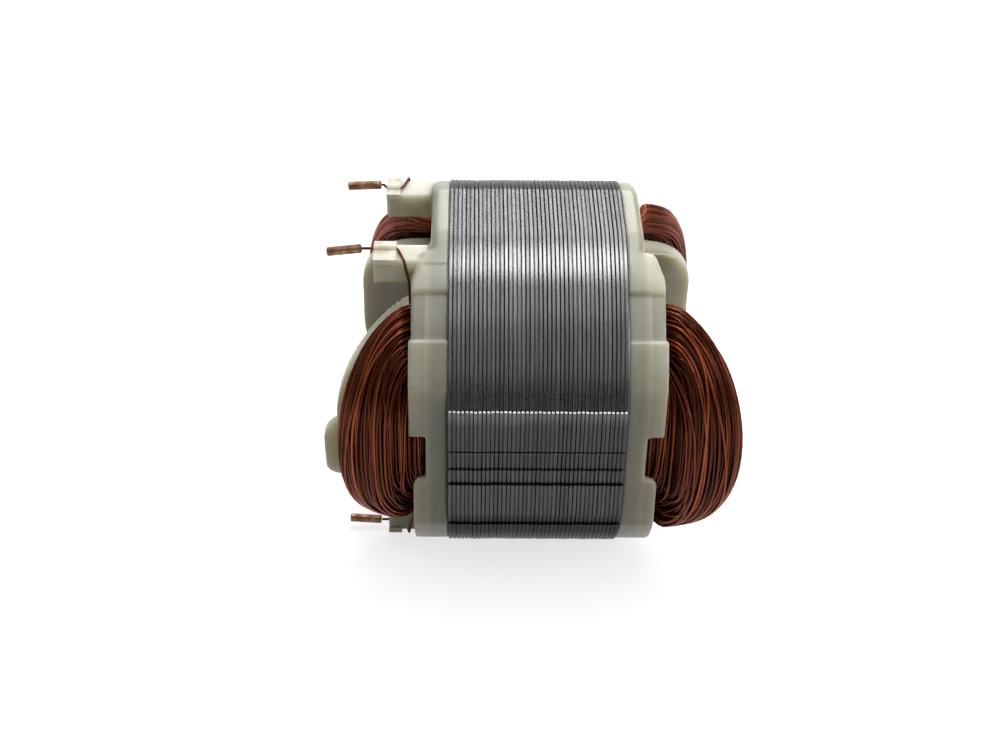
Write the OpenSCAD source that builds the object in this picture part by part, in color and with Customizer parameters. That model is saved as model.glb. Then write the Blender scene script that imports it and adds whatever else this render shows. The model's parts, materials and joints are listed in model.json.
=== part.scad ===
// Wound stator of a small two-pole universal motor.
// The bore axis is X, the poles face -Y (front) and +Y (rear), and the leads leave at -X.
// Angles named _a are measured at the bore axis, from the pole axis.

/* [Lamination stack] */
// Number of steel sheets
lam_count = 42; // [24:1:60]
// Spacing of the sheets
lam_pitch = 0.512; // [0.4:0.001:0.8]
// Width of the seam between two sheets
seam_w = 0.16; // [0.08:0.01:0.2]
// Depth of the seam between two sheets
seam_d = 0.14; // [0.05:0.01:0.25]
// Outer radius of the sheets
core_r = 23.5; // [23:0.1:25]
// Distance from the axis to the flats behind the poles
pole_flat = 22.05; // [21.5:0.05:22.5]
// Distance from the axis to the flats between the poles
side_flat = 23; // [22.6:0.05:23.3]
// Radius of the bore that the rotor runs in
bore_r = 13.4; // [12.8:0.1:13.7]
// Half-angle of a pole shoe
shoe_a = 69; // [68:0.5:72]
// Thickness of a pole shoe in the middle
shoe_t = 2.4; // [2:0.1:2.5]
// Offset that thins a pole shoe towards its tips
shoe_offset = 2; // [1:0.1:2.5]
// Half-width of a pole neck
neck_half = 6; // [5:0.1:7]
// Inner radius of the yoke
yoke_r = 19.6; // [19.4:0.1:19.9]

/* [Grooves in the stack] */
// Width of the weld groove behind each pole
weld_w = 5; // [3:0.1:6]
// Depth of the weld groove behind each pole
weld_d = 0.65; // [0.4:0.05:1.2]
// How far the middle of the weld groove lies under the axis
weld_low = 0.3; // [0:0.05:0.6]
// Width of the rib in the middle of that groove
weld_rib_w = 0.6; // [0.4:0.1:2]
// How far the rib stays below the flat
weld_rib_drop = 0.1; // [0.05:0.05:0.3]
// Angle where the sunk bands beside the pole flats end
band_a = 26; // [24:0.5:30]
// Depth of the sunk bands beside the pole flats
band_d = 0.22; // [0.1:0.02:0.4]

/* [End frames] */
// Thickness of the rim against the stack, between the tabs
rim_t = 2.75; // [2.6:0.05:3.2]
// Thickness of the rim past the tabs
rim_low_t = 2.25; // [1.8:0.05:2.5]
// How far the rim stays inside the round of the stack
rim_recess = 0.2; // [0.1:0.05:0.6]
// How far the rim stays inside the pole flats
rim_flat_recess = 1.2; // [0.6:0.05:1.5]
// Height of the upper outer tabs above the stack
tab_h = 4.75; // [4.6:0.05:5.2]
// Height of the lower outer tabs above the stack
lower_tab_h = 4.3; // [3.8:0.05:4.5]
// Thickness of the outer tabs
tab_t = 1; // [0.8:0.05:1.4]
// Half-width of the gap between an upper and a lower tab
tab_gap = 3.3; // [2:0.1:4]
// Angle where a tab ends and the sunk panel starts
panel_a = 41.4; // [38:0.2:44]
// Angle where the sunk panel ends and the end block starts
block_a = 56; // [53:0.5:58]
// Depth of the sunk panel
panel_d = 0.45; // [0.2:0.05:0.7]
// Height of the panel and the end block above the stack
panel_h = 4.45; // [3.8:0.05:4.5]
// Angle where the end face of the end block starts to slope
slope_a = 58.5; // [57:0.5:61]
// Angle where the end block ends
block_end_a = 69.5; // [67:0.5:73]
// How far the slope of the end block cuts back
slope_d = 1.35; // [0.6:0.05:1.6]
// Angle where the rear tabs end
rear_tab_a = 32; // [28:0.5:36]
// Corner radius of the lower tabs at the gap
tab_round = 1.2; // [0.6:0.1:1.5]
// Clearance between the bore and the coil flanges
flange_clear = 0.5; // [0.3:0.05:0.8]
// Thickness of the coil flanges
flange_t = 2; // [1.4:0.1:2.1]
// Half-angle of a coil flange where it leaves the rim
flange_a = 70; // [66:0.5:70.5]
// Half-height of a coil flange, seen along the pole axis
flange_half = 13.5; // [13:0.1:15]
// Corner radius of a coil flange, seen along the pole axis
flange_round = 11; // [8:0.1:12]
// Reach of the front flange at the lead end
flange_reach_lead_front = 13.8; // [11:0.1:15]
// Reach of the rear flange at the lead end
flange_reach_lead_rear = 12.1; // [11:0.1:15]
// Reach of both flanges at the plain end
flange_reach_plain = 11.1; // [10:0.1:15]
// Reach of the horn on the front flange
horn_reach = 15.5; // [15.1:0.1:17]
// Lower edge of the horn, below the axis
horn_low = 8.7; // [7:0.1:10]
// Upper edge of the horn, above the axis
horn_high = 1.5; // [0:0.1:3]
// Corner radius of the horn
horn_round = 2.5; // [1:0.1:3]
// Corner radius of the pole necks, seen along the pole axis
neck_round = 1; // [0.6:0.1:1.2]

/* [Lead posts] */
// Reach of the short lead posts
post_len = 8.1; // [7.5:0.1:9]
// Extra reach of the long lead posts
post_extra = 1; // [0.5:0.1:1.5]
// Side of a post next to the middle plane
post_y0 = 5.8; // [5:0.1:6]
// Width of a post
post_w = 3.8; // [3:0.1:4]
// Height of the top of a post above the axis
post_top = 21.4; // [21:0.1:21.5]
// Height of a post
post_t = 3.3; // [2.5:0.1:3.6]

/* [Coils] */
// Reach of the front coil at the lead end
front_reach_lead = 13.6; // [12.5:0.1:16]
// Reach of the front coil at the plain end
front_reach_plain = 14.6; // [12.5:0.1:16]
// Reach of the rear coil at the lead end
rear_reach_lead = 11.7; // [10:0.1:16]
// Reach of the rear coil at the plain end
rear_reach_plain = 11.4; // [10:0.1:16]
// Outer radius of the end turns at the lead end
bulge_r_lead = 21; // [20:0.1:22]
// Outer radius of the front end turns at the plain end
bulge_r_plain = 22.1; // [20:0.1:22.2]
// Outer radius of the rear end turns at the plain end
bulge_r_rear = 21.2; // [20:0.1:22.2]
// Half-angle of a coil in its slots
coil_a = 59; // [54:0.5:60]
// Depth of the furrows between bundles of turns
furrow_d = 0.25; // [0:0.01:0.35]
// Number of bundles around a coil's section
bundles = 21; // [8:1:24]

/* [Slot liners] */
// Thickness of the liner sheet
liner_t = 0.25; // [0.15:0.05:0.35]
// How far a liner stands out of the stack at each end
liner_out = 1.2; // [0.5:0.1:2]

/* [Leads] */
// Diameter of the coil wire
wire_d = 0.34; // [0.25:0.01:0.4]
// Diameter of the crimp pins
pin_d = 1.1; // [0.8:0.05:1.4]
// Length of the crimp pins
pin_len = 4.2; // [3:0.1:6]
// Length of the tape pads along the posts
tape_len = 2.75; // [2:0.05:3.5]
// Thickness of the tape pads
tape_t = 0.2; // [0.1:0.05:0.4]
// How far the tape pads lap over the sides of the posts
tape_lap = 0.45; // [0.2:0.05:1]

/* [Fits] */
// Clearance between pieces that lie against each other
fit = 0.05; // [0.03:0.01:0.08]
// Clearance around the coils
coil_clear = 0.15; // [0.1:0.01:0.2]

/* [Hidden] */
$fn = 96;
sides = ["front_upper", "front_lower", "rear_upper", "rear_lower"];

// A length past every outline, for cuts that run right through
past = 2*core_r;
// How far shapes run into each other where they are joined or cut
lap = 1;
lap_a = 2;
half = lam_count*lam_pitch/2;
rim_x = half + rim_t;
rim_r = core_r - rim_recess;
rim_flat = pole_flat - rim_flat_recess;
rim_side = side_flat - rim_recess;
flange_r0 = bore_r + flange_clear;
flange_r1 = flange_r0 + flange_t;
shoe_r = bore_r + shoe_t - shoe_offset;
post_y1 = post_y0 + post_w;

// Turns every profile drawn in the YZ plane into a bar along X that starts at x0
module along_x(x0, length) {
    translate([x0, 0, 0]) rotate([90, 0, 90]) linear_extrude(length) children();
}

// Turns every profile drawn in the XZ plane into a bar that runs from the axis to the front
module to_front() {
    rotate([90, 0, 0]) linear_extrude(past) children();
}

module to_rear() {
    mirror([0, 1, 0]) children();
}

// The sector on the front side between two angles from the pole axis, each under 90 degrees
module sector_2d(a0, a1) {
    reach = past/cos(max(abs(a0), abs(a1)));
    polygon([[0, 0], [-reach*cos(a0), reach*sin(a0)], [-reach*cos(a1), reach*sin(a1)]]);
}

// The four quadrants of the stack, drawn once for the front upper one
module each_quadrant() {
    for (rear = [0, 1], lower = [0, 1]) mirror([rear, 0]) mirror([0, lower]) children();
}

module outline_2d(radius, flat, side) {
    intersection() {
        circle(radius);
        square([2*flat, 2*side], center = true);
    }
}

// Weld groove behind the front pole, widened all round by extra
module weld_groove_2d(extra) {
    difference() {
        translate([-pole_flat - core_r, -weld_low - weld_w/2 - extra])
            square([core_r + weld_d + extra, weld_w + 2*extra]);
        translate([-pole_flat + weld_rib_drop + extra, -weld_low - weld_rib_w/2 + extra])
            square([core_r, weld_rib_w - 2*extra]);
    }
}

// Sunk band from the end of the front flat up to an angle, deepened all round by extra
module band_2d(extra) {
    flat_z = sqrt(core_r*core_r - pole_flat*pole_flat);
    intersection() {
        difference() {
            circle(past);
            circle(core_r - band_d - extra);
        }
        sector_2d(0, band_a + asin(extra/core_r));
        translate([-past, flat_z - extra]) square(past);
    }
}

// Outside of the sheets, cut back all round by extra
module sheet_outside_2d(extra) {
    difference() {
        outline_2d(core_r - extra, pole_flat - extra, side_flat - extra);
        for (rear = [0, 1]) mirror([rear, 0]) weld_groove_2d(extra);
        each_quadrant() band_2d(extra);
    }
}

// Front pole: a neck from the yoke and a shoe that thins towards its tips
module pole_2d() {
    translate([-yoke_r - lap, -neck_half]) square([yoke_r + lap - bore_r + shoe_t, 2*neck_half]);
    intersection() {
        translate([-shoe_offset, 0]) circle(shoe_r);
        sector_2d(-shoe_a, shoe_a);
    }
}

module sheet_2d() {
    difference() {
        sheet_outside_2d(0);
        circle(yoke_r);
    }
    difference() {
        for (rear = [0, 1]) mirror([rear, 0]) pole_2d();
        circle(bore_r);
    }
}

module lamination_stack() {
    color("slategray") difference() {
        along_x(-half, 2*half) sheet_2d();
        for (i = [1 : lam_count - 1]) along_x(-half + i*lam_pitch - seam_w/2, seam_w) difference() {
            square(2*past, center = true);
            sheet_outside_2d(seam_d);
        }
    }
}

// Rounded tongue from the axis plane, seen along the pole axis
module tongue_2d(x_end, z_half, round) {
    translate([0, -z_half]) square([x_end - round, 2*z_half]);
    translate([0, round - z_half]) square([x_end, 2*(z_half - round)]);
    for (side = [-1, 1]) translate([x_end - round, side*(z_half - round)]) circle(round);
}

module rim_2d(inset) {
    outline_2d(rim_r - inset, rim_flat - inset, rim_side - inset);
}

module rim_ring_2d() {
    difference() {
        rim_2d(0);
        circle(yoke_r);
    }
}

// Upper outer tab with its sloped end block, seen along the pole axis
module upper_tab_2d(height) {
    slope_z = rim_r*sin(slope_a);
    block_z = rim_r*sin(block_end_a);
    polygon([[half, tab_gap], [half + height, tab_gap], [half + height, slope_z],
             [half + min(height, panel_h), slope_z], [half + min(height, panel_h) - slope_d, block_z],
             [half, block_z]]);
}

// Lower outer tab, which has a round corner at the gap
module lower_tab_2d() {
    difference() {
        mirror([0, 1]) upper_tab_2d(lower_tab_h);
        translate([half + lower_tab_h - tab_round, -tab_gap - tab_round]) difference() {
            square(2*tab_round);
            circle(tab_round);
        }
    }
}

// Neck cover of the front pole, with round corners for the innermost turns
module front_neck() {
    intersection() {
        along_x(half, rim_t) translate([-yoke_r - lap, -neck_half])
            square([yoke_r + lap - flange_r1 + flange_t/2, 2*neck_half]);
        to_front() tongue_2d(rim_x, neck_half, neck_round);
    }
}

module flange_root_2d() {
    intersection() {
        difference() {
            circle(flange_r1);
            circle(flange_r0);
        }
        sector_2d(-flange_a, flange_a);
    }
}

module front_flange(reach, horn) {
    intersection() {
        along_x(half, reach + horn) flange_root_2d();
        to_front() {
            tongue_2d(half + reach, flange_half, flange_round);
            if (horn > 0) translate([0, (horn_high - horn_low)/2])
                tongue_2d(half + reach + horn, (horn_high + horn_low)/2, horn_round);
        }
    }
}

// Thicker front part of the rim with its neck and its tabs, up to an angle on both sides
module front_part(end_a) {
    along_x(half, rim_t) intersection() {
        rim_ring_2d();
        sector_2d(-end_a, end_a);
    }
    front_neck();
    intersection() {
        along_x(half, tab_h) intersection() {
            difference() {
                rim_2d(0);
                rim_2d(tab_t);
            }
            sector_2d(-end_a, end_a);
        }
        to_front() {
            upper_tab_2d(tab_h);
            lower_tab_2d();
        }
    }
}

// End frame on the +X end, with the reach of its two flanges and of the horn past the front one.
// Only the front upper tab has a sunk panel and an end block.
module end_frame(front, rear, horn) {
    difference() {
        union() {
            along_x(half, rim_low_t) rim_ring_2d();
            front_part(block_end_a);
        }
        along_x(half - lap, tab_h + 2*lap) intersection() {
            difference() {
                circle(past);
                circle(rim_r - panel_d);
            }
            sector_2d(panel_a, block_a);
        }
        along_x(half + panel_h, tab_h) sector_2d(panel_a, block_end_a + lap_a);
    }
    to_rear() front_part(rear_tab_a);
    front_flange(front, horn);
    to_rear() front_flange(rear, 0);
}

module plain_end_frame() {
    color("beige") end_frame(flange_reach_plain, flange_reach_plain, 0);
}

module lead_post(reach) {
    translate([half, -post_y1, post_top - post_t]) cube([reach, post_w, post_t]);
}

// The long posts stand at the front upper and the rear lower corner
module lead_end_frame() {
    color("beige") mirror([1, 0, 0]) {
        end_frame(flange_reach_lead_front, flange_reach_lead_rear, horn_reach - flange_reach_lead_front);
        for (rear = [0, 1], lower = [0, 1]) mirror([0, rear, 0]) mirror([0, 0, lower])
            lead_post(post_len + (rear == lower ? post_extra : 0));
    }
}

// Coil: its turns are closed loops around the pole neck.
// A loop runs straight through both slots and turns round at each end on half an oval.
coil_r0 = max(flange_r1, bore_r + shoe_t + fit + liner_t) + coil_clear;
coil_slot_r = yoke_r - fit - liner_t - coil_clear;
coil_in_a = asin((neck_half + fit + liner_t + coil_clear)/coil_r0);
coil_in_x = rim_x + coil_clear;
// How far from the stack the loops start to turn round
turn_out = 1.2;
turn_x = half + turn_out;
// The end turns swell out over this length, from the rim on at the sides and past the tabs in the middle.
// The rear ones swell faster at the plain end.
swell_len = 3.6;
rear_swell_len = 1.4;
swell_mid_a = 24;
swell_side_a = 42;
// The innermost turns are nearly square, the outermost are half an ellipse
inner_turn_power = 0.33;
slot_steps = 4;
turn_steps = 24;
loop_n = 2*(slot_steps + turn_steps);
section_n = 2*bundles;
// Squareness of the section, where 2 is an ellipse
section_k = 3.2;

function smooth(t) = let (c = min(1, max(0, t))) c*c*(3 - 2*c);
function signed_pow(v, p) = sign(v)*pow(abs(v), p);

// Position on a loop: [turn angle, side of the stack, share of the slot length, side of the turn]
function loop_at(i) =
    i < turn_steps ? [180*i/turn_steps, 1, 1, 1]
    : i < turn_steps + slot_steps ? [180, 1, 1 - 2*(i - turn_steps)/slot_steps, 1]
    : i < 2*turn_steps + slot_steps ? [180*(i - turn_steps - slot_steps)/turn_steps, -1, 1, -1]
    : [180, -1, 1 - 2*(i - 2*turn_steps - slot_steps)/slot_steps, -1];

// Position in the section: [across the turns, through the thickness, 1 in a furrow].
// The first two run from about -1 to 1.
function section_at(j) =
    let (c = 360*j/section_n,
         rho = pow(pow(abs(cos(c)), section_k) + pow(abs(sin(c)), section_k), -1/section_k))
    [rho*cos(c), rho*sin(c), j % 2];

function swell_start(a) =
    half + tab_h + (coil_in_x - half - tab_h)*smooth((abs(a) - swell_mid_a)/(swell_side_a - swell_mid_a));

// The shape of a coil end: [reach, outer radius of the end turns, length they swell over]
function coil_point(i, j, lead, plain) =
    let (loop = loop_at(i), sec = section_at(j), end = loop[1] > 0 ? plain : lead,
         share = (1 + sec[0])/2,
         power = inner_turn_power + (1 - inner_turn_power)*share,
         x_end = coil_in_x + (half + end[0] - coil_in_x)*share - furrow_d*sec[2]*sec[0],
         x = turn_x*loop[2] + (x_end - turn_x)*pow(abs(sin(loop[0])), power),
         a = loop[3]*signed_pow(cos(loop[0]), power)*(coil_in_a + (coil_a - coil_in_a)*share),
         r1 = coil_slot_r + (end[1] - coil_slot_r)*smooth((abs(x) - swell_start(a))/end[2]),
         r = coil_r0 + (r1 - coil_r0)*(1 + sec[1])/2 - furrow_d*sec[2]*sec[1])
    [loop[1]*x, -r*cos(a), r*sin(a)];

module coil(lead, plain) {
    points = [for (i = [0 : loop_n - 1], j = [0 : section_n - 1]) coil_point(i, j, lead, plain)];
    faces = [for (i = [0 : loop_n - 1], j = [0 : section_n - 1])
        let (a = i*section_n + j, b = i*section_n + (j + 1) % section_n,
             c = ((i + 1) % loop_n)*section_n + j, d = ((i + 1) % loop_n)*section_n + (j + 1) % section_n)
        each [[a, b, d], [a, d, c]]];
    polyhedron(points, faces);
}

module front_coil() {
    color("sienna") coil([front_reach_lead, bulge_r_lead, swell_len],
                         [front_reach_plain, bulge_r_plain, swell_len]);
}

module rear_coil() {
    color("sienna") to_rear() coil([rear_reach_lead, bulge_r_lead, swell_len],
                                   [rear_reach_plain, bulge_r_rear, rear_swell_len]);
}

// Slot window of the front upper quadrant, kept a clearance away from the steel
module window_2d(clear, end_a) {
    intersection() {
        difference() {
            circle(yoke_r - clear);
            translate([-shoe_offset, 0]) circle(shoe_r + clear);
            translate([-past, -past]) square([2*past, past + neck_half + clear]);
        }
        sector_2d(0, end_a);
    }
}

// Places a piece of the front upper corner at any of the four corners
module at_corner(name) {
    rear = name == "rear_upper" || name == "rear_lower" ? 1 : 0;
    lower = name == "front_lower" || name == "rear_lower" ? 1 : 0;
    mirror([0, rear, 0]) mirror([0, 0, lower]) children();
}

module liner_2d(end_a) {
    difference() {
        window_2d(fit, end_a);
        window_2d(fit + liner_t, end_a + lap_a);
    }
}

// Past the stack a liner only follows the neck and the yoke, clear of the coil flanges
module slot_liner(name) {
    color("ivory") at_corner(name) {
        along_x(-half, 2*half) liner_2d(shoe_a - 2);
        along_x(-half - liner_out, 2*(half + liner_out)) difference() {
            liner_2d(coil_a + 2);
            circle(flange_r1 + fit);
        }
    }
}

// Leads: each pin starts this far past the end of its post, this far over its wire on the post,
// and droops by this angle.
// It lies in from the side of the post that is next to the middle plane.
pin_gap = [1.5, 1.1, 0.7, 1.3];
pin_rise = [0, 0, 0.5, 0];
pin_droop = [7, 4, 3, 5];
pin_in = 1.4;
pin_y = post_y0 + pin_in;
lead_z = post_top + fit + wire_d/2;
tape_x = half + post_len + post_extra - tape_len;
pin_chamfer = 0.12;

function corner(name) = search([name], sides)[0];
function post_end(name) =
    half + post_len + (name == "front_upper" || name == "rear_lower" ? post_extra : 0);
function pin_start(name) = post_end(name) + pin_gap[corner(name)];
function pin_z(name) = lead_z + pin_rise[corner(name)];

module lead_pin(name) {
    color("peru") at_corner(name) translate([-pin_start(name), -pin_y, pin_z(name)])
        rotate([0, -90 - pin_droop[corner(name)], 0]) rotate_extrude()
            polygon([[0, 0], [pin_d/2 - pin_chamfer, 0], [pin_d/2, pin_chamfer],
                     [pin_d/2, pin_len - pin_chamfer], [pin_d/2 - pin_chamfer, pin_len], [0, pin_len]]);
}

// Tube swept along a route, with a ring across each bend
wire_sides = 8;
function unit(v) = v/norm(v);
function bend_dir(route, i) =
    let (last = len(route) - 1) unit(route[min(i + 1, last)] - route[max(i - 1, 0)]);
function ring(centre, dir, radius) =
    let (side = unit(cross(dir, [0.31, 0.53, 0.79])), up = cross(side, dir))
    [for (k = [0 : wire_sides - 1]) centre + radius*(cos(360*k/wire_sides)*side + sin(360*k/wire_sides)*up)];

module tube(route, radius) {
    n = len(route);
    points = [for (i = [0 : n - 1]) each ring(route[i], bend_dir(route, i), radius)];
    walls = [for (i = [0 : n - 2], k = [0 : wire_sides - 1])
        let (a = i*wire_sides + k, b = i*wire_sides + (k + 1) % wire_sides)
        each [[a, a + wire_sides, b], [b, a + wire_sides, b + wire_sides]]];
    caps = [[for (k = [0 : wire_sides - 1]) k], [for (k = [wire_sides - 1 : -1 : 0]) (n - 1)*wire_sides + k]];
    polyhedron(points, concat(walls, caps));
}

// The wire climbs from the coil past the end block, over the post and on to its pin
function lead_route(name) =
    let (x0 = -half - tab_h, near = post_y1 + fit + wire_d/2)
    [[x0 + 0.1, -11.4, 16.4], [x0, -10.6, 17.6], [x0 - 0.1, -near - 0.15, post_top - 2.6],
     [x0 - 0.4, -near, post_top - 1.2], [x0 - 0.6, -near, post_top], [x0 - 0.65, -near + 0.05, lead_z],
     [x0 - 0.9, -post_y1 + 0.7, lead_z], [x0 - 1.3, -pin_y - 0.4, lead_z], [-tape_x, -pin_y, lead_z],
     [-post_end(name), -pin_y, lead_z], [-(post_end(name) + pin_start(name))/2, -pin_y, pin_z(name)],
     [fit - pin_start(name), -pin_y, pin_z(name)]];

module lead_wire(name) {
    color("saddlebrown") at_corner(name) tube(lead_route(name), wire_d/2);
}

// Tape across a post: it arches over the wire and laps over both sides of the post
module tape_2d() {
    difference() {
        union() {
            translate([-post_y1 - fit - tape_t, post_top - tape_lap])
                square([post_w + 2*(fit + tape_t), tape_lap + fit + tape_t]);
            translate([-pin_y, lead_z]) circle(wire_d/2 + fit + tape_t);
        }
        translate([-post_y1 - fit, post_top - past]) square([post_w + 2*fit, past + fit]);
        translate([-pin_y, lead_z]) circle(wire_d/2 + fit);
    }
}

module lead_tape(name) {
    color("oldlace") at_corner(name) along_x(-post_end(name), post_end(name) - tape_x) tape_2d();
}

lamination_stack();
lead_end_frame();
plain_end_frame();
front_coil();
rear_coil();
for (s = sides) {
    slot_liner(s);
    lead_pin(s);
    lead_wire(s);
    lead_tape(s);
}
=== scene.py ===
"""Looks of the wound stator: steel sheets, strands of the coils, moulded frames, leads, light and camera.

Sizes are in millimetres, and meshes are made in metres. The bore axis is X, the poles face -Y (front)
and +Y (rear), and the leads leave at -X.
"""
import json
import math

import bmesh
import bpy
import numpy as np
from mathutils import Matrix, Vector
from mathutils.bvhtree import BVHTree
from mathutils.geometry import tessellate_polygon

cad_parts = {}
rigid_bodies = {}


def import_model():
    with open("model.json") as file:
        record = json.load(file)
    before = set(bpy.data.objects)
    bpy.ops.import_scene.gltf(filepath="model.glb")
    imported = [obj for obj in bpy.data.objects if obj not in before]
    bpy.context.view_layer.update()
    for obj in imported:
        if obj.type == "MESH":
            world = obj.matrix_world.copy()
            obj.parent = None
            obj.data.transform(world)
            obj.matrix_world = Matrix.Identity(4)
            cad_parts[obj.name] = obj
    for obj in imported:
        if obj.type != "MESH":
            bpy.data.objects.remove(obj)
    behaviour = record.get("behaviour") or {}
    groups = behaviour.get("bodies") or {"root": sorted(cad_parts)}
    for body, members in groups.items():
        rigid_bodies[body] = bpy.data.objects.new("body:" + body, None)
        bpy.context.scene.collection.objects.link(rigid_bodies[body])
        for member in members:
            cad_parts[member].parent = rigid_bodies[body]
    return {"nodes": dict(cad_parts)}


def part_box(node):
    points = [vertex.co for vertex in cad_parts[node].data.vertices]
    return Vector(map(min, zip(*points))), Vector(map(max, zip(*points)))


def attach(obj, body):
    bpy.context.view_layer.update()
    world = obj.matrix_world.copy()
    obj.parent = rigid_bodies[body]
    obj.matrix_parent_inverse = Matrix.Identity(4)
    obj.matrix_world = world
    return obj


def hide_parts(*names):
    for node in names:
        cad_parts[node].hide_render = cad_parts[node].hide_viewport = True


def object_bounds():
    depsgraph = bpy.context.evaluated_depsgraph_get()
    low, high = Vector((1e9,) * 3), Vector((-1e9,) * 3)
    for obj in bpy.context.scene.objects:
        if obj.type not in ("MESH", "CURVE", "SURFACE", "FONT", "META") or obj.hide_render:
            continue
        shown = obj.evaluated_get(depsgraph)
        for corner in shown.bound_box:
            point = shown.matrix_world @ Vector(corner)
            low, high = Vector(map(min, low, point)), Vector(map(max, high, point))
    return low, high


for left_over in list(bpy.data.objects):
    bpy.data.objects.remove(left_over)
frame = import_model()
cad_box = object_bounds()
scene = bpy.context.scene
rng = np.random.default_rng(7)

MM = 0.001
# Half the length of the stack, and the distances of its pole flats and side flats from the axis
HALF, POLE_FLAT, SIDE_FLAT = (side/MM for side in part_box("lamination_stack")[1])
SHEETS = 42
PITCH = 2*HALF/SHEETS

# Sheets of the stack
CORE_R = 23.5
BORE_R = 13.4
SHOE_A = 69
SHOE_T = 2.4
SHOE_OFFSET = 2.0
NECK_HALF = 6.0
YOKE_R = 19.6
WELD_TOP = 2.15
WELD_BOTTOM = -3.15
WELD_D = 0.34
WELD_RIBS = (-1.0, 1.75)
WELD_RIB_W = 0.5
WELD_RIB_MIN_W = 0.05
WELD_RIB_DROP = 0.08
# Painted shade: the stack's colour is darker from its underside up to the top of the pole flats
STACK_PAINTED_SHADE_Z = -13.9
STACK_PAINTED_SHADE_SPAN = 22.0
STACK_PAINTED_SHADE_RIPPLE = 1.2
STACK_PAINTED_SHADE_TONES = ((0.08, 0.25), (0.35, 0.62), (0.5, 0.64), (0.68, 0.5), (0.93, 0.54), (1.0, 1.0))
LIP_RISE = 0.1
BAND_A = 26
BAND_D = 0.22
SIDE_BLEND = 0.85

# End frames and coils
TAB_H = 4.75
RIM_R = 23.3
RIM_LOW_T = 2.25
COIL_R0 = 16.25
COIL_SLOT_R = 19.15
COIL_IN_X = HALF + 2.9
COIL_IN_Z = 6.45
COIL_IN_A = math.degrees(math.asin(COIL_IN_Z/COIL_R0))
COIL_A = 59
TURN_X = HALF + 1.2
SWELL_MID_A = 24
SWELL_SIDE_A = 42
INNER_TURN_POWER = 0.33
SECTION_K = 3.2
# Ends of a coil, at the leads and at the plain end: reach, outer radius of the end turns and swell length
FRONT_ENDS = ((13.6, 21.0, 3.6), (14.6, 22.1, 3.6))
REAR_ENDS = ((11.7, 21.0, 3.6), (11.4, 21.2, 1.4))


# Meshes

def mesh_object(name, points, faces, smooth=True):
    """New mesh object from points in millimetres."""
    mesh = bpy.data.meshes.new(name)
    mesh.from_pydata([tuple(p) for p in np.asarray(points)*MM], [], [tuple(f) for f in faces])
    mesh.polygons.foreach_set("use_smooth", [smooth]*len(mesh.polygons))
    mesh.update()
    obj = bpy.data.objects.new(name, mesh)
    scene.collection.objects.link(obj)
    return obj


def add_piece(obj, material, slot, *nodes):
    """Dresses a new piece, and lets it stand for CAD nodes."""
    obj.data.materials.clear()
    obj.data.materials.append(material)
    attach(obj, "root")
    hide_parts(*nodes)
    return obj


def grid_faces(rows, columns, close_rows, first=0):
    """Quads of a grid of points whose rows are closed loops, and whose last row may join the first."""
    faces = []
    for i in range(rows if close_rows else rows - 1):
        for j in range(columns):
            a = first + i*columns + j
            b = first + i*columns + (j + 1) % columns
            c = first + ((i + 1) % rows)*columns + (j + 1) % columns
            d = first + ((i + 1) % rows)*columns + j
            faces.append((a, b, c, d))
    return faces


def float_attribute(obj, name, values):
    """Gives a mesh one number for each point, for its material to read."""
    attribute = obj.data.attributes.new(name, "FLOAT", "POINT")
    attribute.data.foreach_set("value", np.asarray(values, np.float32))


def fix_normals(obj):
    """Turns all faces outwards."""
    bm = bmesh.new()
    bm.from_mesh(obj.data)
    bmesh.ops.recalc_face_normals(bm, faces=bm.faces)
    bm.to_mesh(obj.data)
    bm.free()


# Materials

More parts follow.
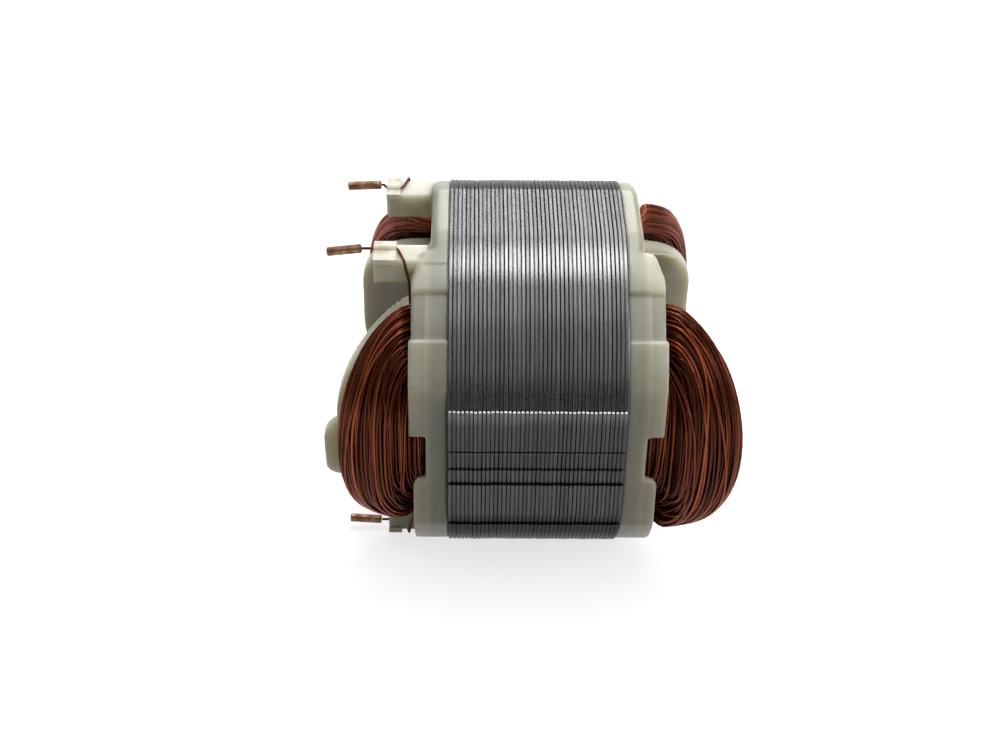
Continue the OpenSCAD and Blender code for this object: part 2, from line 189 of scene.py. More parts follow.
class Shader:
    """A material with a Principled shader and short calls for its nodes."""

    def __init__(self, name):
        self.material = bpy.data.materials.new(name)
        self.material.use_nodes = True
        self.tree = self.material.node_tree
        self.bsdf = self.tree.nodes["Principled BSDF"]
        place = self.node("ShaderNodeMapping")
        place.inputs["Scale"].default_value = (1/MM, 1/MM, 1/MM)
        coordinates = self.node("ShaderNodeTexCoord")
        self.link(coordinates.outputs["Object"], place.inputs["Vector"])
        self.mm = place.outputs["Vector"]

    def node(self, kind, **settings):
        new = self.tree.nodes.new(kind)
        for key, value in settings.items():
            setattr(new, key, value)
        return new

    def link(self, out, into):
        self.tree.links.new(out, into)

    def set(self, **values):
        for key, value in values.items():
            self.bsdf.inputs[key.replace("_", " ")].default_value = value

    def math(self, operation, a, b=0.0):
        new = self.node("ShaderNodeMath", operation=operation)
        for socket, value in zip(new.inputs, (a, b)):
            if isinstance(value, (int, float)):
                socket.default_value = value
            else:
                self.link(value, socket)
        return new.outputs["Value"]

    def between(self, value, low, high):
        """How far a value has gone from a low to a high one: 0 at the low one and 1 at the high one."""
        return self.math("DIVIDE", self.math("SUBTRACT", value, low), high - low)

    def axis(self, letter):
        split = self.node("ShaderNodeSeparateXYZ")
        self.link(self.mm, split.inputs["Vector"])
        return split.outputs[letter]

    def stretched(self, scale):
        """The place in millimetres, scaled differently along each axis."""
        new = self.node("ShaderNodeMapping")
        new.inputs["Scale"].default_value = scale
        self.link(self.mm, new.inputs["Vector"])
        return new.outputs["Vector"]

    def noise(self, scale, detail=3.0, roughness=0.5, vector=None):
        new = self.node("ShaderNodeTexNoise")
        new.inputs["Scale"].default_value = scale
        new.inputs["Detail"].default_value = detail
        new.inputs["Roughness"].default_value = roughness
        self.link(vector or self.mm, new.inputs["Vector"])
        return new.outputs["Fac"]

    def attribute(self, name):
        return self.node("ShaderNodeAttribute", attribute_name=name).outputs["Fac"]

    def ramp(self, factor, stops):
        """Colours over a factor: stops are (place, (r, g, b)), or (place, grey)."""
        new = self.node("ShaderNodeValToRGB")
        elements = new.color_ramp.elements
        while len(elements) < len(stops):
            elements.new(0.5)
        for element, (place, colour) in zip(elements, stops):
            rgb = (colour,)*3 if isinstance(colour, (int, float)) else colour
            element.position = place
            element.color = (*rgb, 1.0)
        self.link(factor, new.inputs["Fac"])
        return new.outputs["Color"]

    def mix(self, factor, a, b, blend="MIX"):
        """Two colours mixed: the sockets are those that the node has for colours."""
        new = self.node("ShaderNodeMix", data_type="RGBA", blend_type=blend)
        for socket, value in ((new.inputs[0], factor), (new.inputs[6], a), (new.inputs[7], b)):
            if isinstance(value, tuple):
                socket.default_value = (*value, 1.0)
            elif isinstance(value, (int, float)):
                socket.default_value = value
            else:
                self.link(value, socket)
        return new.outputs[2]

    def bump(self, height, strength, distance):
        new = self.node("ShaderNodeBump")
        new.inputs["Strength"].default_value = strength
        new.inputs["Distance"].default_value = distance*MM
        self.link(height, new.inputs["Height"])
        self.link(new.outputs["Normal"], self.bsdf.inputs["Normal"])

    def colour(self, out):
        self.link(out, self.bsdf.inputs["Base Color"])

    def roughness(self, out):
        self.link(out, self.bsdf.inputs["Roughness"])


def steel_material():
    """Cut edges of electrical sheet: each sheet has its own tone, with fine scratches across it, and painted
    shade darkens the lower part.
    """
    s = Shader("lamination_steel")
    s.set(Metallic=1.0, Specular_Tint=(0.55, 0.55, 0.55, 1.0))
    sheet = s.math("FLOOR", s.between(s.axis("X"), -HALF, PITCH - HALF))
    tone = s.node("ShaderNodeTexWhiteNoise", noise_dimensions="1D")
    s.link(sheet, tone.inputs["W"])
    grain = s.noise(1.0, 4.0, 0.6, s.stretched((9.0, 1.6, 1.6)))
    wear = s.noise(1.0, 2.0, 0.5, s.stretched((9.0, 0.35, 0.35)))
    # Painted shade: the colour darkens towards the bottom of the stack
    height = s.math("ADD", s.axis("Z"), s.math("MULTIPLY", s.noise(0.4), STACK_PAINTED_SHADE_RIPPLE))
    stack_painted_shade = s.ramp(s.between(height, STACK_PAINTED_SHADE_Z, STACK_PAINTED_SHADE_Z + STACK_PAINTED_SHADE_SPAN), STACK_PAINTED_SHADE_TONES)
    base = s.ramp(tone.outputs["Value"], ((0.0, 0.13), (1.0, 0.17)))
    base = s.mix(0.4, base, s.ramp(grain, ((0.3, 0.6), (0.7, 1.0))), "MULTIPLY")
    base = s.mix(0.7, base, s.ramp(wear, ((0.3, 0.5), (0.7, 1.0))), "MULTIPLY")
    base = s.mix(s.ramp(s.attribute("seam"), ((0.3, 0.0), (1.0, 1.0))), base, (0.06, 0.06, 0.06))
    base = s.mix(1.0, base, stack_painted_shade, "MULTIPLY")
    s.colour(base)
    s.roughness(s.ramp(grain, ((0.3, 0.23), (0.75, 0.34))))
    s.bump(grain, 0.3, 0.03)
    return s.material


# Walls of nylon are measured up to this thickness
WALL_MAX = 4.0
# Painted shade darkens the nylon fully up to the first distance from the stack, and not at all past the
# second
STEEL_SHADE = (1.8, 3.6)
# The frames are darkened as painted shade below the first height, and not above the second
FRAME_PAINTED_SHADE_Z = (2.0, 13.0)
NYLON_DARK = (0.43, 0.417, 0.32)
NYLON_PALE = (0.51, 0.495, 0.39)


def nylon_material(name, tone):
    """Natural moulded nylon, pale and cloudy, with painted shade on thin walls, next to the stack and low
    down.
    """
    s = Shader(name)
    cloud = s.noise(0.16, 3.0)
    fine = s.noise(1.4, 4.0)
    dark, pale = (tuple(tone*c for c in colour) for colour in (NYLON_DARK, NYLON_PALE))
    base = s.ramp(cloud, ((0.3, dark), (0.7, pale)))
    base = s.mix(0.3, base, s.ramp(fine, ((0.35, 0.86), (0.65, 1.0))), "MULTIPLY")
    # Painted shade: thin walls are darkened
    wall = s.math("DIVIDE", s.attribute("wall"), WALL_MAX)
    through = s.ramp(wall, ((0.14, (0.60, 0.60, 0.57)), (0.25, (0.82, 0.82, 0.80)), (0.4, 1.0)))
    base = s.mix(1.0, base, through, "MULTIPLY")
    # Painted shade next to the stack
    past_steel = s.math("SUBTRACT", s.math("ABSOLUTE", s.axis("X")), HALF)
    shade = s.ramp(s.between(past_steel, *STEEL_SHADE), ((0.0, (0.57, 0.58, 0.57)), (1.0, 1.0)))
    base = s.mix(1.0, base, shade, "MULTIPLY")
    # Painted shade: darker towards the bottom of the frames
    soil_and_painted_shade = s.ramp(s.between(s.axis("Z"), *FRAME_PAINTED_SHADE_Z), ((0.0, (0.78, 0.77, 0.74)), (1.0, 1.0)))
    base = s.mix(1.0, base, soil_and_painted_shade, "MULTIPLY")
    s.colour(base)
    s.set(Subsurface_Weight=1.0, Subsurface_Radius=(1.0, 0.93, 0.65), Subsurface_Scale=6.0*MM, IOR=1.53)
    s.roughness(s.ramp(fine, ((0.3, 0.28), (0.7, 0.42))))
    s.bump(fine, 0.25, 0.04)
    return s.material


def copper_material():
    """Enamelled wire: dark red-brown lacquer over copper, each strand with its own tone."""
    s = Shader("enamelled_copper")
    tone = s.attribute("tone")
    flow = s.noise(0.5, 3.0)
    dark, middle, bright = (0.055, 0.009, 0.003), (0.11, 0.020, 0.006), (0.29, 0.068, 0.021)
    base = s.ramp(tone, ((0.0, dark), (0.6, middle), (1.0, bright)))
    base = s.mix(0.5, base, s.ramp(flow, ((0.3, 0.55), (0.7, 1.0))), "MULTIPLY")
    s.colour(base)
    s.set(Metallic=0.6, Specular_Tint=(1.0, 0.45, 0.25, 1.0), Coat_Weight=0.15, Coat_Roughness=0.15,
          Coat_Tint=(1.0, 0.72, 0.5, 1.0))
    s.roughness(s.ramp(flow, ((0.3, 0.20), (0.7, 0.34))))
    return s.material


def pin_material():
    """Crimp sleeves of dull copper, brown with handling."""
    s = Shader("pin_copper")
    stain = s.noise(1.1, 4.0)
    draw = s.noise(1.0, 3.0, 0.5, s.stretched((0.35, 5.0, 5.0)))
    dark, middle, bright = (0.12, 0.055, 0.03), (0.27, 0.14, 0.08), (0.42, 0.26, 0.16)
    base = s.ramp(stain, ((0.3, dark), (0.55, middle), (0.75, bright)))
    base = s.mix(0.5, base, s.ramp(draw, ((0.3, 0.5), (0.65, 1.0))), "MULTIPLY")
    s.colour(base)
    s.set(Metallic=0.9)
    s.roughness(s.ramp(stain, ((0.3, 0.5), (0.7, 0.32))))
    s.bump(draw, 0.4, 0.05)
    return s.material


def tape_material():
    """Pale cloth tape with a fine weave, a little soiled."""
    s = Shader("pale_tape")
    weave = s.node("ShaderNodeTexWave", wave_type="BANDS", bands_direction="X")
    weave.inputs["Scale"].default_value = 2.2
    weave.inputs["Distortion"].default_value = 0.6
    s.link(s.mm, weave.inputs["Vector"])
    soil_and_painted_shade = s.noise(0.7, 4.0)
    base = s.ramp(soil_and_painted_shade, ((0.3, (0.53, 0.465, 0.355)), (0.6, (0.67, 0.64, 0.56))))
    base = s.mix(0.12, base, weave.outputs["Color"], "MULTIPLY")
    s.colour(base)
    s.set(Subsurface_Weight=0.2, Subsurface_Radius=(1.0, 0.9, 0.7), Subsurface_Scale=0.6*MM)
    s.roughness(s.ramp(soil_and_painted_shade, ((0.3, 0.75), (0.7, 0.6))))
    s.bump(weave.outputs["Fac"], 0.3, 0.04)
    return s.material


def paper_material():
    """Insulating paper of the slots, fibrous and off-white."""
    s = Shader("slot_paper")
    fibre = s.noise(1.0, 5.0, 0.7, s.stretched((0.6, 3.0, 3.0)))
    s.colour(s.ramp(fibre, ((0.3, (0.55, 0.50, 0.38)), (0.7, (0.74, 0.70, 0.58)))))
    s.roughness(s.ramp(fibre, ((0.3, 0.85), (0.7, 0.7))))
    s.bump(fibre, 0.4, 0.03)
    return s.material


STEEL = steel_material()
# Painted light and shade: the frame at the leads is darker and the plain one lighter, as if the light fell
# more on the plain end
SHADED_LEAD_NYLON = nylon_material("frame_nylon_lead_shaded", 0.93)
LIT_PLAIN_NYLON = nylon_material("frame_nylon_plain_lit", 1.05)
COPPER = copper_material()
PIN = pin_material()
TAPE = tape_material()
PAPER = paper_material()


# Coils: strands on closed loops round the pole necks

WIRE_D = 0.34
STRAND_PITCH = 0.36
# Mean radius of a coil's section
SECTION_R = 5.0
STRAND_SIDES = 5
TURN_STEPS = 40
SLOT_STEPS = 4
# Layers of strands from the outside in: share of the strands that fit side by side, depth in wire diameters,
# wander in strand pitches, ripple in millimetres, and share of the range of tones
# The deepest layer keeps to the darker part of the tones, as painted shade
LAYERS = ((0.25, 0.5, 3.0, 0.0, 1.0), (1.0, 1.0, 1.0, 0.10, 1.0), (1.0, 1.8, 0.6, 0.05, 0.5))
LAY_SLACK = 0.2
WANDER_WAVES = 4
RIPPLE_WAVES = 3
CORE_DEPTH = 2.2*WIRE_D
CORE_SIDES = 32


def smooth_step(t):
    """Soft step from 0 to 1."""
    c = np.clip(t, 0.0, 1.0)
    return c*c*(3 - 2*c)


def signed_pow(v, p):
    """Power of the size of a number, with its sign kept."""
    return np.sign(v)*np.abs(v)**p


def loop_stations():
    """Stations of a loop: turn angle, side of the stack and share of the slot length."""
    turn = np.pi*np.arange(TURN_STEPS)/TURN_STEPS
    slot = 1 - 2*np.arange(SLOT_STEPS)/SLOT_STEPS
    rows = []
    for side in (1.0, -1.0):
        rows += [(b, side, 1.0) for b in turn]
        rows += [(np.pi, side, share) for share in slot]
    return np.array(rows).T


def coil_points(section_angle, inset, ends):
    """Points of strands, given for each strand and station its angle round the section and its depth."""
    turn, side, slot = loop_stations()
    reach, bulge, swell = (np.where(side > 0, plain, lead) for lead, plain in zip(*ends))
    cos_c, sin_c = np.cos(section_angle), np.sin(section_angle)
    rho = (np.abs(cos_c)**SECTION_K + np.abs(sin_c)**SECTION_K)**(-1/SECTION_K)
    across, through = rho*cos_c, rho*sin_c
    share = np.clip((1 + across)/2, 0, 1)
    power = INNER_TURN_POWER + (1 - INNER_TURN_POWER)*share
    x_end = COIL_IN_X + (HALF + reach - COIL_IN_X)*share - inset*across
    x = TURN_X*slot + (x_end - TURN_X)*np.abs(np.sin(turn))**power
    half_angle = COIL_IN_A + (COIL_A - COIL_IN_A)*share
    a = side*signed_pow(np.cos(turn), power)*half_angle
    middle = HALF + TAB_H
    past_tab = smooth_step((np.abs(a) - SWELL_MID_A)/(SWELL_SIDE_A - SWELL_MID_A))
    start = middle + (COIL_IN_X - middle)*past_tab
    r1 = COIL_SLOT_R + (bulge - COIL_SLOT_R)*smooth_step((np.abs(x) - start)/swell)
    r = COIL_R0 + (r1 - COIL_R0)*(1 + through)/2 - inset*through
    a = np.radians(a)
    return np.stack([side*x, -r*np.cos(a), r*np.sin(a)], axis=-1)


def waves(count, stations, amplitude, highest):
    """Smooth closed wander for each strand, one row each."""
    t = 2*np.pi*np.arange(stations)/stations
    total = np.zeros((count, stations))
    for f in range(1, highest + 1):
        phase = rng.uniform(0, 2*np.pi, (count, 1))
        size = rng.normal(0, amplitude/math.sqrt(highest), (count, 1))
        total += size*np.sin(f*t + phase)
    return total


def layer(ends, share, depth, wander, ripple, tones):
    """One layer of strands: centre lines and a tone for each."""
    count = int(share*int(2*np.pi*SECTION_R/STRAND_PITCH))
    stations = 2*(TURN_STEPS + SLOT_STEPS)
    slack = rng.uniform(-LAY_SLACK, LAY_SLACK, (count, 1))
    start = 2*np.pi*(np.arange(count)[:, None] + slack)/count
    section_angle = start + waves(count, stations, wander*STRAND_PITCH/SECTION_R, WANDER_WAVES)
    inset = np.maximum(depth*WIRE_D + waves(count, stations, ripple, RIPPLE_WAVES), WIRE_D/2)
    return coil_points(section_angle, inset, ends), tones*rng.uniform(0.0, 1.0, count)


def closed_tubes(paths, radius, sides):
    """Points and faces of closed tubes along many loops at once."""
    ahead = np.roll(paths, -1, axis=1) - np.roll(paths, 1, axis=1)
    ahead /= np.linalg.norm(ahead, axis=2, keepdims=True)
    out = paths*np.array([0.0, 1.0, 1.0])
    out /= np.linalg.norm(out, axis=2, keepdims=True)
    across = np.cross(ahead, out)
    across /= np.linalg.norm(across, axis=2, keepdims=True)
    out = np.cross(across, ahead)
    turn = 2*np.pi*np.arange(sides)/sides
    rings = (paths[:, :, None, :] + radius*(np.cos(turn)[:, None]*across[:, :, None, :]
                                            + np.sin(turn)[:, None]*out[:, :, None, :]))
    strands, stations = paths.shape[:2]
    faces = []
    for k in range(strands):
        faces += grid_faces(stations, sides, True, k*stations*sides)
    return rings.reshape(-1, 3), faces


def winding(name, node, ends, mirror):
    """A coil as strands in three layers over a core painted dark as shade: a few cross over the closely laid
    ones.
    """
    paths, tones = (np.concatenate(part) for part in zip(*(layer(ends, *row) for row in LAYERS)))
    points, faces = closed_tubes(paths, WIRE_D/2, STRAND_SIDES)
    tone = np.repeat(tones, len(points)//len(paths))
    stations = paths.shape[1]
    angles = 2*np.pi*np.arange(CORE_SIDES)[:, None]/CORE_SIDES + np.zeros((1, stations))
    core = coil_points(angles, np.full_like(angles, CORE_DEPTH), ends)
    faces += grid_faces(CORE_SIDES, stations, True, len(points))
    points = np.concatenate([points, core.reshape(-1, 3)])
    # Painted shade: the core under the strands takes the darkest tone
    tone = np.concatenate([tone, np.zeros(CORE_SIDES*stations)])
    points[:, 1] *= mirror
    obj = mesh_object(name, points, faces)
    float_attribute(obj, "tone", tone)
    fix_normals(obj)
    return add_piece(obj, COPPER, "enamelled_copper", node)


winding("front_winding", "front_coil", FRONT_ENDS, 1)
winding("rear_winding", "rear_coil", REAR_ENDS, -1)


# Stack: a skin over all the sheets, with a rounded edge on each sheet and a dark seam between two

BAND_POINTS = 3
ROUND_POINTS = 36
BORE_POINTS = 36
SHOE_POINTS = 22
SEAM_DEPTH = 0.14
EDGE_DROP = 0.05
BORE_SEAM_DEPTH = 0.06
# Rows of points over one sheet: place, as a share of half its thickness, and the loop that the row follows
OUT_PROFILE = ((-0.86, 2), (-0.84, 1), (-0.62, 0), (0.62, 0), (0.84, 1), (0.86, 2))
IN_PROFILE = ((-1.0, 1), (-0.8, 0), (0.8, 0))
# Rows of the two outermost sheets past this share lie on the ends of the stack
END_SHARE = 0.7
# How unevenly the sheets are laid
SHEET_SHIFT = 0.018
SHEET_LEAN = 0.006
# Angle left between the points of two mirrored arcs and the plane between them
MIRROR_GAP_A = 1.0
CORNER_A = 12.0


def arc(count, radius, start, end, centre=0.0):
    """Points on an arc, its angles from the pole axis and its centre shifted towards the pole."""
    a = np.radians(np.linspace(start, end, count))
    return list(zip(centre + radius*np.cos(a), radius*np.sin(a)))


def weld_rib(middle, floor, face, width):
    """Rib in the weld groove, with a sloped top."""
    low, high = middle - width/2, middle + width/2
    return [(floor, low), (face, low), (face, high - min(LIP_RISE, width/2)), (floor, high)]


def outside_half(cut):
    """Front half of a sheet's outside, from the lower flat up to the upper one, cut back all round."""
    flat_z = math.sqrt(CORE_R**2 - POLE_FLAT**2) - cut
    side_y = math.sqrt(CORE_R**2 - SIDE_FLAT**2)
    radius = CORE_R - cut
    sunk = radius - BAND_D
    flat = POLE_FLAT - cut
    band_end = BAND_A + math.degrees(cut/CORE_R)
    band_start = math.degrees(math.asin(flat_z/sunk))
    side_a = math.degrees(math.acos(side_y/radius))
    upper = [(flat, flat_z - LIP_RISE)] + arc(BAND_POINTS, sunk, band_start, band_end)
    upper += arc(ROUND_POINTS, radius, band_end, side_a)
    upper += [(side_y - SIDE_BLEND, SIDE_FLAT - cut)]
    lower = [(f, -z) for f, z in reversed(upper)]
    floor = flat - WELD_D
    rib_w = max(WELD_RIB_W - 2*cut, WELD_RIB_MIN_W)
    groove = [(flat, WELD_BOTTOM - cut), (floor, WELD_BOTTOM - cut)]
    for middle in WELD_RIBS:
        groove += weld_rib(middle, floor, flat - WELD_RIB_DROP, rib_w)
    groove += [(floor, WELD_TOP + cut), (flat, WELD_TOP + cut)]
    return lower + groove + upper


def inside_quarter():
    """Front upper quarter of a sheet's inside: bore, shoe tip, shoe, neck and yoke."""
    shoe_r = BORE_R + SHOE_T - SHOE_OFFSET
    tip_a = math.radians(SHOE_A)
    tip = SHOE_OFFSET*math.cos(tip_a) + math.sqrt(shoe_r**2 - (SHOE_OFFSET*math.sin(tip_a))**2)
    shoe_start = math.degrees(math.atan2(tip*math.sin(tip_a), tip*math.cos(tip_a) - SHOE_OFFSET))
    shoe_end = math.degrees(math.asin(NECK_HALF/shoe_r))
    yoke_start = math.degrees(math.asin(NECK_HALF/YOKE_R))
    bore = arc(BORE_POINTS, BORE_R, MIRROR_GAP_A, SHOE_A)
    shoe = arc(SHOE_POINTS, shoe_r, shoe_start, shoe_end, SHOE_OFFSET)
    yoke = arc(BORE_POINTS, YOKE_R, yoke_start, 90 - MIRROR_GAP_A)
    return bore + shoe + yoke


def both_sides(half_line):
    """Closed loop in Y and Z from a half on the front, drawn from the bottom to the top."""
    front = [(-f, z) for f, z in half_line]
    rear = [(f, z) for f, z in reversed(half_line)]
    return np.array(front + rear)


def outward(loop, distance):
    """Loop moved sideways by a small distance, away from the bore."""
    along = np.roll(loop, -1, axis=0) - np.roll(loop, 1, axis=0)
    along /= np.linalg.norm(along, axis=1, keepdims=True)
    return loop + distance*np.stack([-along[:, 1], along[:, 0]], axis=1)


def sheet_rows(profile, loops):
    """Points of a skin: for each sheet, rows at shares of its thickness, each on one of the loops."""
    rows, depths = [], []
    for i in range(SHEETS):
        shift = rng.normal(0, SHEET_SHIFT, 2)
        lean = rng.normal(0, SHEET_LEAN)
        for u, depth in profile:
            x = -HALF + PITCH*(i + 0.5 + u/2)
            if (i == 0 and u < -END_SHARE) or (i == SHEETS - 1 and u > END_SHARE):
                x = math.copysign(HALF, u)
            yz = loops[depth] + shift + lean*u
            rows.append(np.column_stack([np.full(len(yz), x), yz]))
            depths.append(np.full(len(yz), depth))
    return np.concatenate(rows), np.concatenate(depths), len(rows)


def cap(points, first_out, count_out, first_in, count_in):
    """Triangles between an outer and an inner loop of one end."""
    outer = [Vector(p) for p in points[first_out:first_out + count_out]]
    inner = [Vector(p) for p in points[first_in:first_in + count_in]]
    index = list(range(first_out, first_out + count_out)) + list(range(first_in, first_in + count_in))
    return [tuple(index[k] for k in triangle) for triangle in tessellate_polygon([outer, inner])]


def is_corner(loop):
    """Tells which points of a loop are corners of the sheet."""
    ahead = np.roll(loop, -1, axis=0) - loop
    behind = loop - np.roll(loop, 1, axis=0)
    bend = np.arctan2(ahead[:, 1], ahead[:, 0]) - np.arctan2(behind[:, 1], behind[:, 0])
    return np.abs((bend + np.pi) % (2*np.pi) - np.pi) > math.radians(CORNER_A)


def sharpen(obj, row_of, corners):
    """Marks edges along the rows and at the corners as sharp, and leaves the round of the sheets smooth."""
    ends = np.empty(2*len(obj.data.edges), np.int32)
    obj.data.edges.foreach_get("vertices", ends)
    a, b = ends.reshape(-1, 2).T
    sharp = (row_of[a] == row_of[b]) | corners[a] | corners[b]
    attribute = obj.data.attributes.new("sharp_edge", "BOOLEAN", "EDGE")
    attribute.data.foreach_set("value", sharp)


def sheets():
    """The stack of sheets as one closed mesh."""
    cuts = (0.0, EDGE_DROP, SEAM_DEPTH)
    out_loops = [both_sides(outside_half(cut)) for cut in cuts]
    quarter = inside_quarter()
    in_loop = both_sides([(f, -z) for f, z in reversed(quarter)] + quarter)
    in_loops = [in_loop, outward(in_loop, BORE_SEAM_DEPTH)]
    out_points, out_depth, out_rows = sheet_rows(OUT_PROFILE, out_loops)
    in_points, in_depth, in_rows = sheet_rows(IN_PROFILE, in_loops)
    n_out, n_in = len(out_loops[0]), len(in_loop)
    points = np.concatenate([out_points, in_points])
    faces = grid_faces(out_rows, n_out, False)
    faces += grid_faces(in_rows, n_in, False, len(out_points))
    faces += cap(points, 0, n_out, len(out_points), n_in)
    faces += cap(points, len(out_points) - n_out, n_out, len(points) - n_in, n_in)
    obj = mesh_object("sheets", points, faces)
    float_attribute(obj, "seam", np.concatenate([out_depth/2, in_depth]))
    fix_normals(obj)
    out_corners = np.tile(is_corner(out_loops[0]), out_rows)
    in_corners = np.tile(is_corner(in_loop), in_rows)
    out_row_of = np.repeat(np.arange(out_rows), n_out)
    in_row_of = np.repeat(out_rows + np.arange(in_rows), n_in)
    sharpen(obj, np.concatenate([out_row_of, in_row_of]), np.concatenate([out_corners, in_corners]))
    return add_piece(obj, STEEL, "lamination_steel", "lamination_stack")


sheets()


# Frames: the CAD shapes with soft moulded edges

RIM_ROUND = 0.9
RIM_SEGMENTS = 5
RIM_EDGE_DEPTH = 0.6
ON_FACE = 0.02
SAME_POINT = 0.004
SAME_FACE_A = 1.0
SOFT_GRID = 0.22
SOFT_SHARE = 0.5
SOFT_ROUNDS = 4
# A wall is measured from just under its surface
WALL_START = 0.05


def on_rim_edge(edge):
    """Tells whether an edge lies on the outer corner of the thin part of the rim."""
    ends = [v.co/MM for v in edge.verts]
    on_face = all(abs(abs(p.x) - HALF - RIM_LOW_T) < ON_FACE for p in ends)
    return on_face and all(math.hypot(p.y, p.z) > RIM_R - RIM_EDGE_DEPTH for p in ends)


def wall_thickness(mesh):
    """Distance from each point straight through to the other side of its wall, in millimetres."""
    tree = BVHTree.FromPolygons([v.co for v in mesh.vertices], [p.vertices for p in mesh.polygons])
    walls = []
    for v in mesh.vertices:
        distance = tree.ray_cast(v.co - WALL_START*MM*v.normal, -v.normal, WALL_MAX*MM)[3]
        walls.append(WALL_MAX if distance is None else distance/MM)
    return walls


def softened(name, node, material, slot):
    """Copy of a CAD shape, meshed again on a fine grid and smoothed, so that its edges turn soft."""
    source = frame["nodes"][node]
    mesh = source.data.copy()
    bm = bmesh.new()
    bm.from_mesh(mesh)
    bmesh.ops.remove_doubles(bm, verts=bm.verts, dist=SAME_POINT*MM)
    bmesh.ops.dissolve_limit(bm, angle_limit=math.radians(SAME_FACE_A), verts=bm.verts, edges=bm.edges)
    edges = [e for e in bm.edges if on_rim_edge(e)]
    bmesh.ops.bevel(bm, geom=edges, offset=RIM_ROUND*MM, segments=RIM_SEGMENTS, profile=0.5, affect="EDGES")
    bm.to_mesh(mesh)
    bm.free()
    rough = bpy.data.objects.new(name + "_rough", mesh)
    rough.matrix_world = source.matrix_world
    scene.collection.objects.link(rough)
    grid = rough.modifiers.new("grid", "REMESH")
    grid.mode = "VOXEL"
    grid.voxel_size = SOFT_GRID*MM
    grid.use_smooth_shade = True
    soft = rough.modifiers.new("soft", "SMOOTH")
    soft.factor = SOFT_SHARE
    soft.iterations = SOFT_ROUNDS
    made = bpy.data.meshes.new_from_object(rough.evaluated_get(bpy.context.evaluated_depsgraph_get()))
    made.name = name
    obj = bpy.data.objects.new(name, made)
    obj.matrix_world = source.matrix_world
    bpy.data.objects.remove(rough)
    scene.collection.objects.link(obj)
    float_attribute(obj, "wall", wall_thickness(made))
    return add_piece(obj, material, slot, node)


softened("lead_end_frame_soft", "lead_end_frame", SHADED_LEAD_NYLON, "frame_nylon")
softened("plain_end_frame_soft", "plain_end_frame", LIT_PLAIN_NYLON, "frame_nylon")


# CAD nodes that keep their own shape

def dress(node, material):
    """Gives a CAD node its material."""
    obj = frame["nodes"][node]
    obj.data.materials.clear()
    obj.data.materials.append(material)


for corner in ("front_upper", "front_lower", "rear_upper", "rear_lower"):
    dress("slot_liner_" + corner, PAPER)
    dress("lead_pin_" + corner, PIN)
    dress("lead_wire_" + corner, COPPER)
    dress("lead_tape_" + corner, TAPE)


# Stage: floor, light and camera

FLOOR_SIZE = 6.0
FLOOR_Z = cad_box[0].z
# What the floor throws back on the part, and what the camera sees of it
FLOOR_BOUNCE = (0.27, 0.248, 0.198, 1.0)
FLOOR_PAINT = (0.45, 0.45, 0.45, 1.0)
FLOOR_GLOW = 0.70
# Light from in front of the part is dimmer and warmer than the rest
WORLD_FRONT = (0.12, 0.108, 0.086, 1.0)
WORLD_REST = (0.36, 0.36, 0.36, 1.0)
WORLD_BLEND = 0.35
# Softboxes, all aimed at the middle of the part: name, place and size in metres, and power
LAMPS = (
    ("key", (0.045, 0.077, 0.492), (0.15, 0.20), 1.17),
    ("back_box", (0.05, 0.40, 0.446), (0.22, 0.32), 1.35),
    ("back_strip", (0.03, 0.55, 0.23), (0.30, 0.05), 1.1),
    ("fill", (0.06, -0.155, 0.476), (0.40, 0.175), 0.45),
    ("front_fill", (0.06, -0.38, 0.33), (0.26, 0.34), 0.26),
    ("side_fill", (0.42, -0.22, 0.26), (0.25, 0.25), 0.9),
)


def floor_material():
    """White floor that throws less light back up than the camera sees on it."""
    material = bpy.data.materials.new("floor_white")
    material.use_nodes = True
    tree = material.node_tree
    tree.nodes.clear()
    path = tree.nodes.new("ShaderNodeLightPath")
    seen = tree.nodes.new("ShaderNodeMath")
    seen.operation = "MAXIMUM"
    tree.links.new(path.outputs["Is Camera Ray"], seen.inputs[0])
    tree.links.new(path.outputs["Is Glossy Ray"], seen.inputs[1])
    seen_through = tree.nodes.new("ShaderNodeMath")
    seen_through.operation = "MAXIMUM"
    tree.links.new(seen.outputs["Value"], seen_through.inputs[0])
    tree.links.new(path.outputs["Is Transmission Ray"], seen_through.inputs[1])
    bounce = tree.nodes.new("ShaderNodeBsdfDiffuse")
    bounce.inputs["Color"].default_value = FLOOR_BOUNCE
    paint = tree.nodes.new("ShaderNodeBsdfDiffuse")
    paint.inputs["Color"].default_value = FLOOR_PAINT
    glow = tree.nodes.new("ShaderNodeEmission")
    glow.inputs["Strength"].default_value = FLOOR_GLOW
    white = tree.nodes.new("ShaderNodeAddShader")
    tree.links.new(paint.outputs["BSDF"], white.inputs[0])
    tree.links.new(glow.outputs["Emission"], white.inputs[1])
    mix = tree.nodes.new("ShaderNodeMixShader")
    tree.links.new(seen_through.outputs["Value"], mix.inputs["Fac"])
    tree.links.new(bounce.outputs["BSDF"], mix.inputs[1])
    tree.links.new(white.outputs["Shader"], mix.inputs[2])
    output = tree.nodes.new("ShaderNodeOutputMaterial")
    tree.links.new(mix.outputs["Shader"], output.inputs["Surface"])
    return material


def make_floor():
    """Wide floor under the part."""
    edge = FLOOR_SIZE/2/MM
    corners = [(-edge, -edge, 0), (edge, -edge, 0), (edge, edge, 0), (-edge, edge, 0)]
    floor = mesh_object("floor", corners, [(0, 1, 2, 3)], smooth=False)
    floor.location.z = FLOOR_Z
    floor.data.materials.append(floor_material())


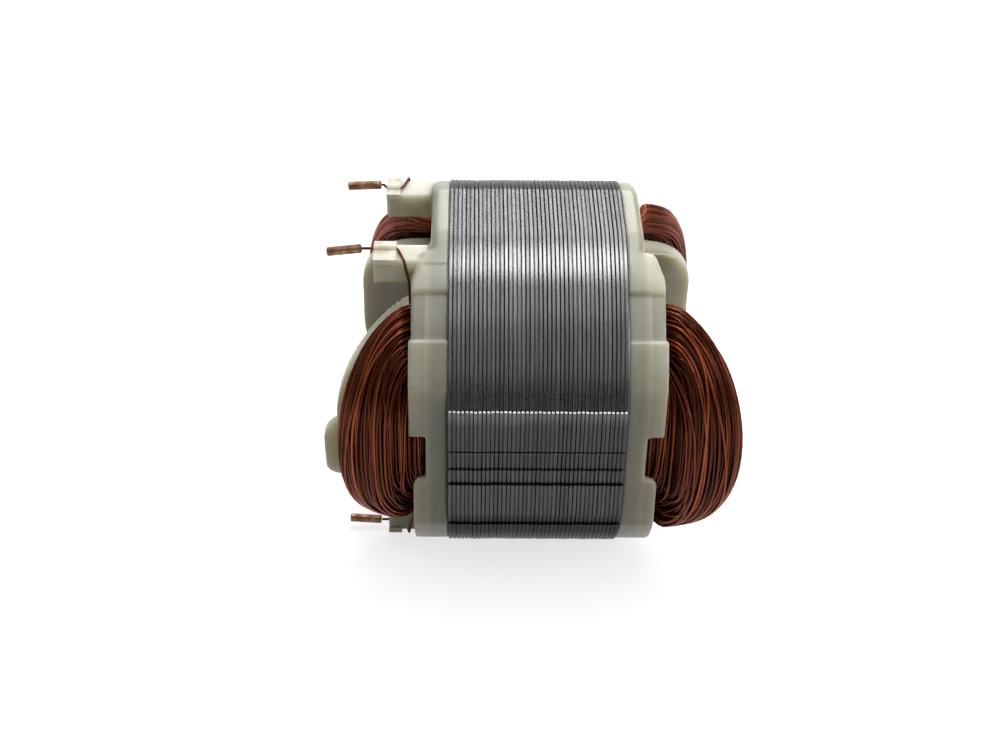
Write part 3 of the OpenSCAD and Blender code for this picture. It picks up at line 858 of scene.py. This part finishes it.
def make_world():
    """Even light from all round, less of it from the front."""
    world = bpy.data.worlds.new("studio")
    world.use_nodes = True
    tree = world.node_tree
    background = tree.nodes["Background"]
    split = tree.nodes.new("ShaderNodeSeparateXYZ")
    ramp = tree.nodes.new("ShaderNodeValToRGB")
    half_turn = tree.nodes.new("ShaderNodeMath")
    half_turn.operation = "MULTIPLY_ADD"
    half_turn.inputs[1].default_value = 0.5
    half_turn.inputs[2].default_value = 0.5
    coordinates = tree.nodes.new("ShaderNodeTexCoord")
    tree.links.new(coordinates.outputs["Generated"], split.inputs["Vector"])
    tree.links.new(split.outputs["Y"], half_turn.inputs[0])
    tree.links.new(half_turn.outputs["Value"], ramp.inputs["Fac"])
    front, rest = ramp.color_ramp.elements
    front.position = 0.0
    front.color = WORLD_FRONT
    rest.position = WORLD_BLEND
    rest.color = WORLD_REST
    tree.links.new(ramp.outputs["Color"], background.inputs["Color"])
    scene.world = world


def make_lamp(name, place, size, power):
    """Softbox aimed at the middle of the part."""
    data = bpy.data.lights.new(name, "AREA")
    data.shape = "RECTANGLE"
    data.size, data.size_y = size
    data.energy = power
    lamp = bpy.data.objects.new(name, data)
    lamp.location = place
    lamp.rotation_euler = (-Vector(place)).to_track_quat("-Z", "Y").to_euler()
    scene.collection.objects.link(lamp)


# Camera where the photograph was taken from, its angles in degrees
CAMERA_PLACE = (-8.24, -186.18, 134.44)
CAMERA_YAW = 1.26
CAMERA_PITCH = 36.34
CAMERA_ROLL = -1.09
SENSOR_WIDTH = 36.0
FOCAL_PIXELS = 1744.4
IMAGE_WIDTH = 1000


def make_camera():
    """Camera at the photograph's angle."""
    yaw, pitch, roll = (math.radians(v) for v in (CAMERA_YAW, CAMERA_PITCH, CAMERA_ROLL))
    ahead = Vector((math.sin(yaw)*math.cos(pitch), math.cos(yaw)*math.cos(pitch), -math.sin(pitch)))
    level = Vector((math.cos(yaw), -math.sin(yaw), 0.0))
    down = ahead.cross(level)
    right = math.cos(roll)*level + math.sin(roll)*down
    up = right.cross(ahead)
    data = bpy.data.cameras.new("camera")
    data.sensor_width = SENSOR_WIDTH
    data.lens = SENSOR_WIDTH*FOCAL_PIXELS/IMAGE_WIDTH
    data.clip_start = 0.01
    data.clip_end = 20.0
    camera = bpy.data.objects.new("camera", data)
    turn = Matrix((right, up, -ahead)).transposed().to_4x4()
    camera.matrix_world = Matrix.Translation(Vector(CAMERA_PLACE)*MM) @ turn
    scene.collection.objects.link(camera)
    scene.camera = camera


make_floor()
make_world()
for lamp_values in LAMPS:
    make_lamp(*lamp_values)
make_camera()
scene.view_settings.view_transform = "Standard"
